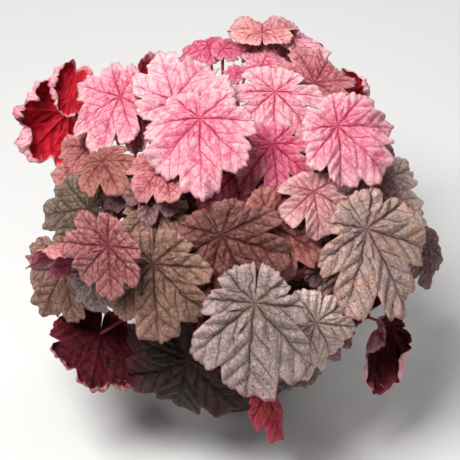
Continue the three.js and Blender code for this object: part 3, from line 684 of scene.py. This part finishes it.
def vein_pattern(lobes):
    """A node group: masks of a leaf's veins from its flat place, in leaf sizes."""
    group = bpy.data.node_groups.new(f"veins_{lobes}", "ShaderNodeTree")
    for name, kind in dict(Place="Vector", Size="Float", Seed="Vector").items():
        group.interface.new_socket(name, in_out="INPUT", socket_type=f"NodeSocket{kind}")
    for name in ("Main", "Branch", "Net", "Fine", "Halo", "Radius"):
        group.interface.new_socket(name, in_out="OUTPUT", socket_type="NodeSocketFloat")
    t = Tree(group)
    given = t.node("NodeGroupInput", {}).outputs
    seeded = t.vector("ADD", given["Place"], given["Seed"])
    sway = t.noise(seeded, WANDER.scale, WANDER.detail, output=1)
    sway = t.vector("SUBTRACT", sway, (0.5, 0.5, 0.5))
    sway = t.vector("MULTIPLY", sway, (2 * WANDER.reach,) * 3)
    bent = t.parts(t.vector("ADD", given["Place"], sway))
    true = t.parts(given["Place"])
    radius = t.math("SQRT", t.plus(t.times(true[0], true[0]), t.times(true[1], true[1])))
    away_from_stalk = t.step(radius, 0.0, WANDER.settled)
    x = t.blend(away_from_stalk, true[0], bent[0])
    y = t.blend(away_from_stalk, true[1], bent[1])

    angle = t.math("ARCTAN2", x, y)
    pitch = radians(PITCH[lobes])
    outer = (lobes - 1) / 2
    lobe = t.math("ROUND", t.over(angle, pitch))
    lobe = t.math("MINIMUM", t.most(lobe, -outer), outer)
    off = t.minus(angle, t.times(lobe, pitch))
    along = t.times(radius, t.math("COSINE", off))
    across = t.times(radius, t.math("SINE", off))
    away = t.math("ABSOLUTE", across)
    thin = t.minus(1.0, t.times(radius, VEIN.taper))
    thin = t.times(thin, t.step(radius, 0.0, VEIN.start, VEIN.least, 1.0))
    main = t.step(t.over(away, t.times(thin, VEIN.main)), *VEIN_EDGES.main)

    start = t.minus(along, t.times(away, BRANCH.slant))
    stagger = t.times(t.math("SIGN", across), BRANCH.stagger)
    start = t.plus(start, t.plus(stagger, t.times(lobe, BRANCH.by_lobe)))
    count = t.over(start, BRANCH.spacing)
    gap = t.math("ABSOLUTE", t.minus(count, t.math("ROUND", count)))
    gap = t.times(gap, BRANCH.spacing * sin(math.atan(1 / BRANCH.slant)))
    branch = t.step(t.over(gap, t.times(thin, VEIN.branch)), *VEIN_EDGES.branch)
    branch = t.times(branch, t.step(start, *VEIN_EDGES.branch_start))

    near_branch = t.step(gap, VEIN.halo * BRANCH_HALO.width, 0.0)
    near_branch = t.times(near_branch, t.step(start, 0.0, BRANCH_HALO.start))
    halo = t.most(t.step(away, VEIN.halo, 0.0), t.times(near_branch, BRANCH_HALO.strength))
    found = dict(Main=main, Branch=branch, Halo=halo, Radius=radius)
    flat = t.node("ShaderNodeCombineXYZ", {0: x, 1: y}).outputs[0]
    for name, (cell, line) in NETS.items():
        scale = t.over(given["Size"], cell)
        edge = t.cells(flat, scale, feature="DISTANCE_TO_EDGE", voronoi_dimensions="2D")[0]
        found[name] = t.step(edge, 0.0, line, 1.0, 0.0)
    t.node("NodeGroupOutput", found)
    return group


VEINS = {lobes: vein_pattern(lobes) for lobes in PITCH}

# ---- the leaves' colours
# ground, heart near the stalk, rim, veins, patches and the thin edge of the upper side
UPPER_LOOKS = dict(
    bright="#ea849e #d0406a #f8c4c8 #ac204c #da6284 #c6566c",
    pale="#f0a4b6 #da5a7c #fad0d0 #b02c56 #e47c94 #cc6e7e",
    hot="#de5c82 #c42c5c #ee9eac #94143e #d0466e #ba3e5e",
    coral="#da868c #bc485c #f0bab2 #8c223a #c46268 #be4e58",
    salmon="#b66466 #923642 #da9e94 #641c28 #9a4a4a #a04246",
    rose="#bc606c #9c344a #de9c9a #6c182c #a0444e #963444",
    blush="#d08e94 #ac4e60 #e8b8b2 #702236 #b46a6e #b0545e",
    dusty="#a05c60 #7c323c #c68682 #501622 #884442 #86323e",
    terracotta="#98524e #722c2c #c4867a #4c181c #803c34 #8a3634",
    mauve="#805a5e #5e363e #ae8482 #3e1c22 #6a4242 #763a44",
    silver="#887672 #62524a #b49490 #422a2c #6e5c52 #7e4c50",
    green_grey="#6a5e50 #484032 #9c8476 #2e201c #5a483a #764244",
    sand="#b29a96 #846c6a #d4b0a2 #543838 #c29680 #cc6c5a",
    beige="#826252 #5c4032 #b28a7a #38201c #724638 #924842",
    brown="#70443e #502820 #a26e68 #2e1414 #74382c #92383a",
    # dusk: the low hanging leaves' own dark brown, darkened further by painted shade
    dusk="#1e120e #140c0a #54282e #0a0606 #1c100c #7c243a",
    frost="#a08e8a #7a6e62 #caacaa #4a3434 #847a6e #a05c5e",
    # ash: the leaves' own pale silver, made paler still by painted light on leaves that face away from the
    # key light
    ash="#d6bab4 #b29c8c #eed2cc #644646 #c4a692 #b86464",
    ember="#ac2246 #a0243e #c84e64 #6e0e26 #bc4638 #961e3c",
)
# ground, darker mottling, ribs and edge of the under side
UNDER_LOOKS = dict(
    crimson="#cc0e26 #960416 #e6425c #f6a8b0",
    magenta="#a43c56 #721a30 #c4687a #d68a90",
    wine="#5a0a18 #2c040c #7c2234 #923846",
)
# How strongly each order of veins is drawn, the dark along them (their own colour and painted shade in the
# sunken grooves), the bloom between them (silver bloom and painted highlight on the blister tops), the red
# of the veins at the stalk, the grain, the spots, and the height of the relief in metres
YOUNG = Named(
    veins=dict(Main=0.76, Branch=0.46, Net=0.13, Fine=0.07), halo=0.13, bloom=0.7, base=0.6,
    grain=0.42, spots=0.1, relief=0.0017,
)
OLD = Named(
    veins=dict(Main=0.85, Branch=0.76, Net=0.46, Fine=0.2), halo=0.4, bloom=0.75, base=0.4,
    grain=0.6, spots=0.35, relief=0.0024,
)
OLD_LOOKS = ("dusty", "mauve", "silver", "frost", "ash", "green_grey", "sand", "beige", "brown", "dusk")
BASE_VEIN = "#b23e4e"
RIBS = dict(Main=0.8, Branch=0.55, Net=0.25)
RAISED = dict(Main=1.0, Branch=0.7, Net=0.2, Fine=0.1)
CLOUD_HEIGHT = 1.1
# Where each tone starts, where it is full and, unless that goes with the age, how strong it is
TONES = Named(
    patch=(0.48, 0.7),
    heart=(0.46, 0.0, 0.8),
    rim=(0.58, 1.04, 0.9),
    bloom=(0.35, 0.6),
    speckle=(0.5, 0.75, 0.22),
    grain=(0.48, 0.68),
    base=(0.42, 0.04),
    spots=(0.66, 0.72),
    edge=(0.955, 1.0, 0.6),
    mottle=(0.38, 0.68),
    back_edge=(0.78, 0.98, 0.9),
)
VEIN_FADE = (1.0, 0.7, 0.3, 1.0)
SPREAD = Named(toward_tip=0.14, cloudy_rim=0.5, fine_in_bloom=0.5)
NOISES = dict(
    broad=dict(scale=2.6, detail=2.0),
    cloudy=dict(scale=7.0, detail=4.0, roughness=0.6),
    grain=dict(scale=17.0, detail=5.0, roughness=0.7),
    speckle=dict(scale=38.0, detail=3.0, roughness=0.7),
)
SEED_STEPS = (3.7, 1.9, 0.7)
LEAF_FINISH = Named(roughness=0.44, spread=0.2, sheen=0.02, specular=0.18)


def upper_side(t, row, age, lines, at):
    """Patches, a deeper heart, a pale rim, bloom between the veins that is partly painted highlight on the
    blister tops, a dark band along the veins that is partly painted shade, grain, then the veins and the
    edge.
    """
    ground, heart, rim, veins, patch, edge = UPPER_LOOKS[row.look].split()
    colour = t.lay(ground, patch, at.broad, *TONES.patch)
    colour = t.lay(colour, heart, lines["Radius"], *TONES.heart)
    colour = t.lay(colour, rim, at.rim, *TONES.rim)
    # Paler between the veins where the cushions rise: partly the leaf's own silver bloom, partly a painted
    # highlight on the blister tops
    bloom = t.minus(1.0, t.most(lines["Net"], t.times(lines["Fine"], SPREAD.fine_in_bloom)))
    bloom = t.times(bloom, t.minus(1.0, lines["Halo"]))
    bloom = t.times(bloom, t.step(at.cloudy, *TONES.bloom))
    colour = t.mix(t.times(bloom, age.bloom), colour, rim)
    # A darker band along the veins: partly the veins' own colour, partly painted shade in the sunken vein
    # grooves
    colour = t.mix(t.times(lines["Halo"], age.halo), colour, heart)
    colour = t.lay(colour, patch, at.speckle, *TONES.speckle)
    colour = t.lay(colour, heart, at.grain, *TONES.grain, age.grain)
    drawn = t.times(t.gather(t.most, lines, age.veins), t.step(at.reach, *VEIN_FADE))
    colour = t.mix(drawn, colour, veins)
    base = t.times(lines["Main"], t.step(lines["Radius"], *TONES.base))
    colour = t.mix(t.times(base, age.base), colour, BASE_VEIN)
    colour = t.lay(colour, veins, at.speckle, *TONES.spots, age.spots)
    return t.lay(colour, edge, at.reach, *TONES.edge)


def under_side(t, row, lines, at):
    """Mottled, with a paler edge and standing ribs."""
    back, mottle, ribs, edge = UNDER_LOOKS[row.back].split()
    colour = t.lay(back, mottle, at.cloudy, *TONES.mottle)
    colour = t.lay(colour, edge, at.rim, *TONES.back_edge)
    return t.mix(t.gather(t.most, lines, RIBS), colour, ribs)


def leaf_material(row):
    t = new_material(f"leaf_{row.name}")
    age = OLD if row.look in OLD_LOOKS else YOUNG
    place = t.attribute("leaf_place", "Vector")
    side = t.attribute("leaf_side", "Fac")
    seed = tuple(row.seed * step for step in SEED_STEPS)
    inputs = {"Place": place, "Size": row.size, "Seed": seed}
    lines = t.node("ShaderNodeGroup", inputs, node_tree=VEINS[row.lobes]).outputs
    seeded = t.vector("ADD", place, seed)
    at = Named(**{name: t.noise(seeded, **noise) for name, noise in NOISES.items()})
    toward_tip, at.reach = t.parts(place)[1:]
    at.broad = t.plus(at.broad, t.times(toward_tip, SPREAD.toward_tip))
    at.rim = t.plus(at.reach, t.times(t.minus(at.cloudy, 0.5), SPREAD.cloudy_rim))
    colour = t.mix(side, upper_side(t, row, age, lines, at), under_side(t, row, lines, at))
    sunk = t.minus(t.gather(t.plus, lines, RAISED), t.times(at.cloudy, CLOUD_HEIGHT))
    height = t.times(sunk, t.minus(t.times(side, 2.0), 1.0))
    uneven = t.times(t.minus(at.speckle, 0.5), LEAF_FINISH.spread)
    return t.finish(
        colour,
        t.plus(LEAF_FINISH.roughness, uneven),
        Normal=t.bump(height, age.relief),
        Sheen_Weight=LEAF_FINISH.sheen,
        Specular_IOR_Level=LEAF_FINISH.specular,
    )


# ---- the other materials
def stalk_material():
    """Red streaks and short pale hairs, browner towards the foot."""
    t = new_material("leaf_stalks")
    down = t.parts(t.attribute("leaf_place", "Vector"))[0]
    where = t.own_place()
    streak = t.noise(where, scale=260.0, detail=4.0, roughness=0.6)
    hairs = t.noise(where, scale=1900.0, detail=2.0, roughness=0.7)
    colour = t.lay("#962238", "#ca5462", streak, start=0.35, end=0.7)
    colour = t.lay(colour, "#682c2c", down, start=0.6, end=1.0)
    colour = t.lay(colour, "#ecbeb8", hairs, start=0.56, end=0.7, strength=0.3)
    rough = t.plus(0.45, t.times(streak, 0.2))
    return t.finish(colour, rough, Normal=t.bump(hairs, 0.0002), Sheen_Weight=0.3)


def pot_material():
    """Black nursery plastic: fine moulding grain, dust in the grooves and splashes of soil."""
    t = new_material("pot_plastic")
    where = t.own_place()
    height = t.parts(where)[2]
    grain = t.noise(where, scale=2400.0, detail=3.0, roughness=0.6)
    dust = t.noise(where, scale=46.0, detail=6.0, roughness=0.65)
    scuffs = t.noise(t.vector("MULTIPLY", where, (1.0, 1.0, 9.0)), scale=90.0, detail=4.0, roughness=0.7)
    colour = t.lay("#222224", "#544e48", dust, start=0.42, end=0.8)
    colour = t.lay(colour, "#787470", scuffs, start=0.6, end=0.8, strength=0.25)
    splashed = t.step(dust, 0.3, 0.6)
    colour = t.lay(colour, "#605040", height, start=0.03, end=0.0, strength=splashed)
    rough = t.plus(0.42, t.times(dust, 0.35))
    return t.finish(colour, rough, Normal=t.bump(grain, 0.00012), Specular_IOR_Level=0.45)


def soil_material():
    """Bark compost: dark crumbs, paler fibres and damp patches."""
    t = new_material("soil")
    where = t.own_place()
    crumbs = t.cells(where, scale=420.0)
    fibre = t.noise(t.vector("MULTIPLY", where, (1.0, 4.0, 2.0)), scale=240.0, detail=5.0, roughness=0.7)
    damp = t.noise(where, scale=30.0, detail=3.0)
    tone = t.node("ShaderNodeSeparateColor", {0: crumbs["Color"]}).outputs[0]
    colour = t.mix(tone, "#261b14", "#543e2e")
    colour = t.lay(colour, "#84664c", fibre, start=0.6, end=0.78)
    colour = t.lay(colour, "#1a130f", damp, start=0.5, end=0.7, strength=0.6)
    bumps = t.minus(t.times(fibre, 0.5), crumbs["Distance"])
    return t.finish(colour, 0.9, Normal=t.bump(bumps, 0.0016), Specular_IOR_Level=0.2)


def crown_material():
    """Woody crown: red-brown bark with pale scars of old leaf stalks."""
    t = new_material("crown_wood")
    where = t.own_place()
    scars = t.cells(where, scale=130.0)["Distance"]
    bark = t.noise(t.vector("MULTIPLY", where, (1.0, 1.0, 3.0)), scale=150.0, detail=6.0, roughness=0.7)
    colour = t.lay("#4a2620", "#8a5442", bark, start=0.3, end=0.7)
    colour = t.lay(colour, "#b07c60", scars, start=0.5, end=0.2, strength=0.5)
    bumps = t.minus(bark, t.times(scars, 0.7))
    return t.finish(colour, 0.82, Normal=t.bump(bumps, 0.0015), Specular_IOR_Level=0.25)


def floor_material():
    t = new_material("pale_floor")
    tone = t.noise(t.own_place(), scale=3.0)
    colour = t.mix(tone, (0.70, 0.70, 0.69, 1.0), (0.74, 0.74, 0.73, 1.0))
    return t.finish(colour, 0.85)


# ---- pot, soil and crown, in millimetres
SIDES = Named(pot=112, drain=24, soil=128, crown=96)
FOOT_RING = Named(recess=0.8, inner=8, slope=6, bevel=1.5)
# The lip's rounding, each corner as its way outwards and upwards from the sharp one
LIP_ROUNDING = Named(under=((-0.6, 0.5), (0, 1.4)), over=((0, -1.4), (-0.5, -0.4), (-1.4, 0)), mouth=0.7)
WALL_RINGS = Named(outside=12, above_foot=6, below_band=4, inside=8, below_mouth=10, above_floor=4)
SOIL_GAP = 0.3
SOIL_RINGS = Named(count=22, first=0.06)
LUMPS = Named(height=2.4, x=0.21, y=0.17, small=0.4, small_x=0.5, small_y=0.43)
GRIT = Named(height=0.5, x=1.7, y=1.9, least=0.2)
CHIPS = Named(count=260, seed=7, clear=5, smallest=1.2, largest=3.2)
CHIP = Named(corners=6, uneven=(0.6, 1.1), tilt=0.35, length=1.4, width=0.8, thickness=0.3)
CROWN_RINGS = Named(count=34, last=88)
KNOBS = Named(depth=1.1, x=0.9, y=0.8, wrinkle=0.5, wrinkle_x=2.1, wrinkle_y=2.3)


def kept(piece, node):
    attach(piece, "root")
    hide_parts(node)
    return piece


def add_turned(mesh, profile, sides, shape=None):
    """A closed solid of revolution from radius and height pairs that start and end on the axis."""
    turn = full_turn(sides)
    points = [array([[0, 0, profile[0][1]]])]
    for radius, height in profile[1:-1]:
        level = np.full(sides, float(height))
        ring = columns(radius * cos(turn), radius * sin(turn), level)
        points.append(shape(ring) if shape else ring)
    points.append(array([[0, 0, profile[-1][1]]]))
    rings = len(profile) - 2
    last = 1 + rings * sides
    faces = []
    for k, m in neighbours(sides):
        faces += [[0, 1 + m, 1 + k], [last, last - sides + k, last - sides + m]]
    for k in range(rings - 1):
        faces += band(1 + k * sides, 1 + (k + 1) * sides, sides)
    mesh.add(concatenate(points), faces)


def pot_radius(z):
    return POT.base + (POT.rim - POT.base) * z / POT.height


def pot_profile():
    """Up the outside from the foot ring to the rounded lip, then down the inside to the floor."""
    base, height, wall, floor = POT.base, POT.height, POT.wall, POT.floor
    recess, bevel = FOOT_RING.recess, FOOT_RING.bevel
    foot = height - RIM.band
    profile = [(0, recess), (base - FOOT_RING.inner, recess), (base - FOOT_RING.slope, 0)]
    profile += [(base - bevel, 0), (pot_radius(bevel), bevel)]
    low, high = WALL_RINGS.above_foot, foot - WALL_RINGS.below_band
    profile += [(pot_radius(z), z) for z in linspace(low, high, WALL_RINGS.outside)]
    profile.append((pot_radius(foot), foot))
    lip, top = pot_radius(foot) + RIM.lip, POT.rim + RIM.lip
    profile += [(lip + out, foot + up) for out, up in LIP_ROUNDING.under]
    profile += [(top + out, height + up) for out, up in LIP_ROUNDING.over]
    mouth, rounding = pot_radius(height) - wall, LIP_ROUNDING.mouth
    profile += [(mouth + rounding, height), (mouth, height - rounding)]
    low, high = floor + WALL_RINGS.above_floor, height - WALL_RINGS.below_mouth
    profile += [(pot_radius(z) - wall, z) for z in linspace(high, low, WALL_RINGS.inside)]
    profile += [(pot_radius(floor) - wall - bevel, floor), (0, floor)]
    return profile


def make_pot():
    mesh = Mesh()
    add_turned(mesh, pot_profile(), SIDES.pot)
    pot = mesh.build("pot_fine", [pot_material()])
    holes = Mesh()
    past = 3
    for a in full_turn(DRAIN.count):
        centre = array([DRAIN.ring * cos(a), DRAIN.ring * sin(a), 0])
        ends = np.stack([centre + [0, 0, -past], centre + [0, 0, POT.floor + past]])
        add_tube(holes, ends, [DRAIN.radius] * 2, SIDES.drain, 0, array([1.0, 0, 0]))
    cutter = holes.build("pot_drains", [])
    cut = pot.modifiers.new("drains", "BOOLEAN")
    cut.operation, cut.solver, cut.object = "DIFFERENCE", "EXACT", cutter
    bpy.context.view_layer.objects.active = pot
    bpy.ops.object.modifier_apply(modifier=cut.name)
    bpy.data.objects.remove(cutter)
    return kept(pot, "pot")


def soil_edge():
    return pot_radius(SOIL_LEVEL) - POT.wall - SOIL_GAP


def soil_lump(x, y):
    """How high the soil lies above its level; nothing by the crown and by the pot."""
    share = clip((np.hypot(x, y) - CROWN.radius) / (soil_edge() - CROWN.radius), 0, 1)
    wave = sin(LUMPS.x * x + 1) * cos(LUMPS.y * y)
    wave = wave + LUMPS.small * sin(LUMPS.small_x * x - LUMPS.small_y * y)
    return LUMPS.height * sin(pi * share) * wave


def crumbly(ring):
    """Lifts the soil's top by its lumps and its grit."""
    x, y, z = ring.T
    lump = soil_lump(x, y)
    grit = GRIT.height * sin(GRIT.x * x + 2) * sin(GRIT.y * y)
    lump = lump + grit * clip(np.abs(lump) + GRIT.least, 0, 1)
    return columns(x, y, z + lump * (z > SOIL_LEVEL - SOIL_GAP))


def make_soil():
    bottom = POT.floor + SOIL_GAP
    inner, edge = pot_radius(bottom) - POT.wall - FOOT_RING.bevel - SOIL_GAP, soil_edge()
    hole = CROWN.radius + SOIL_GAP
    pit = SOIL_LEVEL - CROWN.stub - SOIL_GAP
    profile = [(0, bottom), (inner, bottom)]
    profile += [(inner + (edge - inner) * s, bottom + (SOIL_LEVEL - bottom) * s) for s in (0.5, 1)]
    shares = linspace(SOIL_RINGS.first, 1, SOIL_RINGS.count)
    profile += [(edge + (hole - edge) * s, SOIL_LEVEL) for s in shares]
    profile += [(hole, pit), (0, pit)]
    mesh = Mesh()
    add_turned(mesh, profile, SIDES.soil, crumbly)
    rng = np.random.default_rng(CHIPS.seed)
    for _ in range(CHIPS.count):
        a = rng.uniform(0, 2 * pi)
        r = rng.uniform(hole + CHIPS.clear, edge - CHIPS.clear)
        x, y = r * cos(a), r * sin(a)
        size = rng.uniform(CHIPS.smallest, CHIPS.largest)
        add_chip(mesh, array([x, y, SOIL_LEVEL + soil_lump(x, y)]), size, rng)
    return kept(mesh.build("soil_fine", [soil_material()], smooth=False), "soil")


def add_chip(mesh, centre, size, rng):
    """A bark chip: a tilted, uneven flake half sunk in the soil."""
    count = CHIP.corners
    reach = size * rng.uniform(*CHIP.uneven, count)
    tilt = rng.uniform(-CHIP.tilt, CHIP.tilt, 2)
    swing = rng.uniform(0, 2 * pi)
    turn = full_turn(count)
    x, y = reach * cos(turn) * CHIP.length, reach * sin(turn) * CHIP.width
    px, py = x * cos(swing) - y * sin(swing), x * sin(swing) + y * cos(swing)
    flake = columns(px, py, px * tilt[0] + py * tilt[1])
    up = array([0, 0, size * CHIP.thickness])
    points = centre + concatenate([flake + up, flake - up])
    faces = [list(range(count)), list(range(2 * count - 1, count - 1, -1))]
    faces += [[k, count + k, count + m, m] for k, m in neighbours(count)]
    mesh.add(points, faces)


def knobbly(ring):
    """Draws the crown's dome in between its knobs."""
    x, y, z = ring.T
    sunk = KNOBS.depth * (1 + sin(KNOBS.x * x + z) * cos(KNOBS.y * y - z))
    wrinkle = sin(KNOBS.wrinkle_x * x) * sin(KNOBS.wrinkle_y * y + z)
    scale = 1 - (sunk + KNOBS.wrinkle * wrinkle) / CROWN.radius * (z > SOIL_LEVEL - 1)
    return columns(x * scale, y * scale, z)


def make_crown():
    radius, rise, stub = CROWN.radius, CROWN.rise, CROWN.stub
    profile = [(0, SOIL_LEVEL - stub), (radius - 1, SOIL_LEVEL - stub), (radius - 1, SOIL_LEVEL - stub / 2)]
    for a in radians(linspace(0, CROWN_RINGS.last, CROWN_RINGS.count)):
        profile.append((radius * cos(a), SOIL_LEVEL + rise * sin(a)))
    profile.append((0, SOIL_LEVEL + rise))
    mesh = Mesh()
    add_turned(mesh, profile, SIDES.crown, knobbly)
    return kept(mesh.build("crown_fine", [crown_material()]), "crown")


# ---- the stage, in metres
FLOOR_REACH = 4
LIGHTS = dict(
    key=Named(place=(-0.6, -0.5, 1.9), power=53, width=0.85, colour=(1.0, 0.99, 0.98)),
    back=Named(place=(0.6, 1.2, 1.5), power=8, width=0.8, colour=(1.0, 1.0, 1.0)),
    fill=Named(place=(1.4, -1.2, 0.9), power=6, width=1.2, colour=(0.97, 0.98, 1.0)),
)
WORLD = Named(colour=(0.9, 0.92, 0.95, 1), strength=0.11)


def aim(thing, place):
    """Puts a camera or a light in its place, looking at the middle of the mound."""
    thing.location = place
    thing.rotation_euler = (Vector(CENTRE * MM) - thing.location).to_track_quat("-Z", "Y").to_euler()


def make_camera():
    data = bpy.data.cameras.new("camera")
    data.angle = 2 * math.atan(PICTURE_WIDTH / 2 / EYE_DISTANCE)
    data.clip_start, data.clip_end = 0.05, 20
    camera = linked("camera", data)
    aim(camera, FRONT.eye * MM)
    bpy.context.scene.camera = camera


def make_lights():
    for name, light in LIGHTS.items():
        data = bpy.data.lights.new(name, "AREA")
        data.energy, data.size, data.color = light.power, light.width, light.colour
        aim(linked(name, data), light.place)
    world = bpy.data.worlds.new("studio")
    world.use_nodes = True
    background = world.node_tree.nodes["Background"].inputs
    background["Color"].default_value = WORLD.colour
    background["Strength"].default_value = WORLD.strength
    bpy.context.scene.world = world
    bpy.context.scene.view_settings.view_transform = "Standard"


def make_floor():
    mesh = bpy.data.meshes.new("floor")
    r = FLOOR_REACH
    mesh.from_pydata([(-r, -r, 0), (r, -r, 0), (r, r, 0), (-r, r, 0)], [], [(0, 1, 2, 3)])
    mesh.materials.append(floor_material())
    floor = linked("floor", mesh)


# ---- the plant
def make_leaves():
    feet = crown_feet(sum(1 for row in LEAVES if not row.mate))
    for row in LEAVES:
        find_leaf(row, feet)
    stalks = stalk_material()
    for node in dict.fromkeys(row.node for row in LEAVES):
        rows = [row for row in LEAVES if row.node == node]
        mesh = Mesh()
        for slot, row in enumerate(rows):
            add_blade(mesh, row, slot)
            add_stalk(mesh, row, len(rows))
        piece = mesh.build(f"{node}_fine", [leaf_material(row) for row in rows] + [stalks])
        kept(piece, node)


make_camera()
make_floor()
make_lights()
make_pot()
make_soil()
make_crown()
make_leaves()
